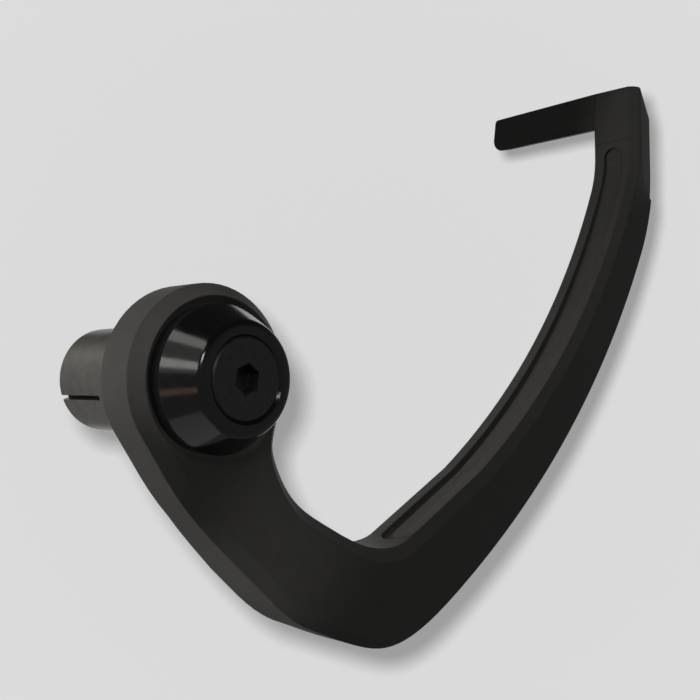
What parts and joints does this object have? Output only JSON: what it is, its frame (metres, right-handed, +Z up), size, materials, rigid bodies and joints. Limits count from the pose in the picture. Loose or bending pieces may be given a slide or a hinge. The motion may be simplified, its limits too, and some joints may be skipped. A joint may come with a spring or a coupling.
{
  "type": "brake lever guard",
  "caption": "Machined motorcycle lever guard: a curved blade with an inboard finger, on an arm and boss that clamp in the handlebar's open end with a bolt and expanding sleeve.",
  "frame": {"origin": "on the handlebar's axis, in the back face of the guard's boss, where the end of the bar meets it", "axes": "+X along the bar towards the outside, +Y forward, +Z up; the expander sleeve points along -X into the bar"},
  "size_m": [0.0499, 0.1488, 0.1144],
  "materials": {
    "guard": "matte black anodised, fine bead blasted",
    "cap": "glossy black anodised, turned",
    "bolt": "black oxide",
    "sleeve": "turned, natural",
    "nut": "black oxide"
  },
  "bodies": {
    "root": {"guard_arm": "guard", "end_cap": "cap", "clamp_bolt": "bolt", "expander_sleeve": "sleeve", "wedge_nut": "nut"}
  },
  "joints": []
}
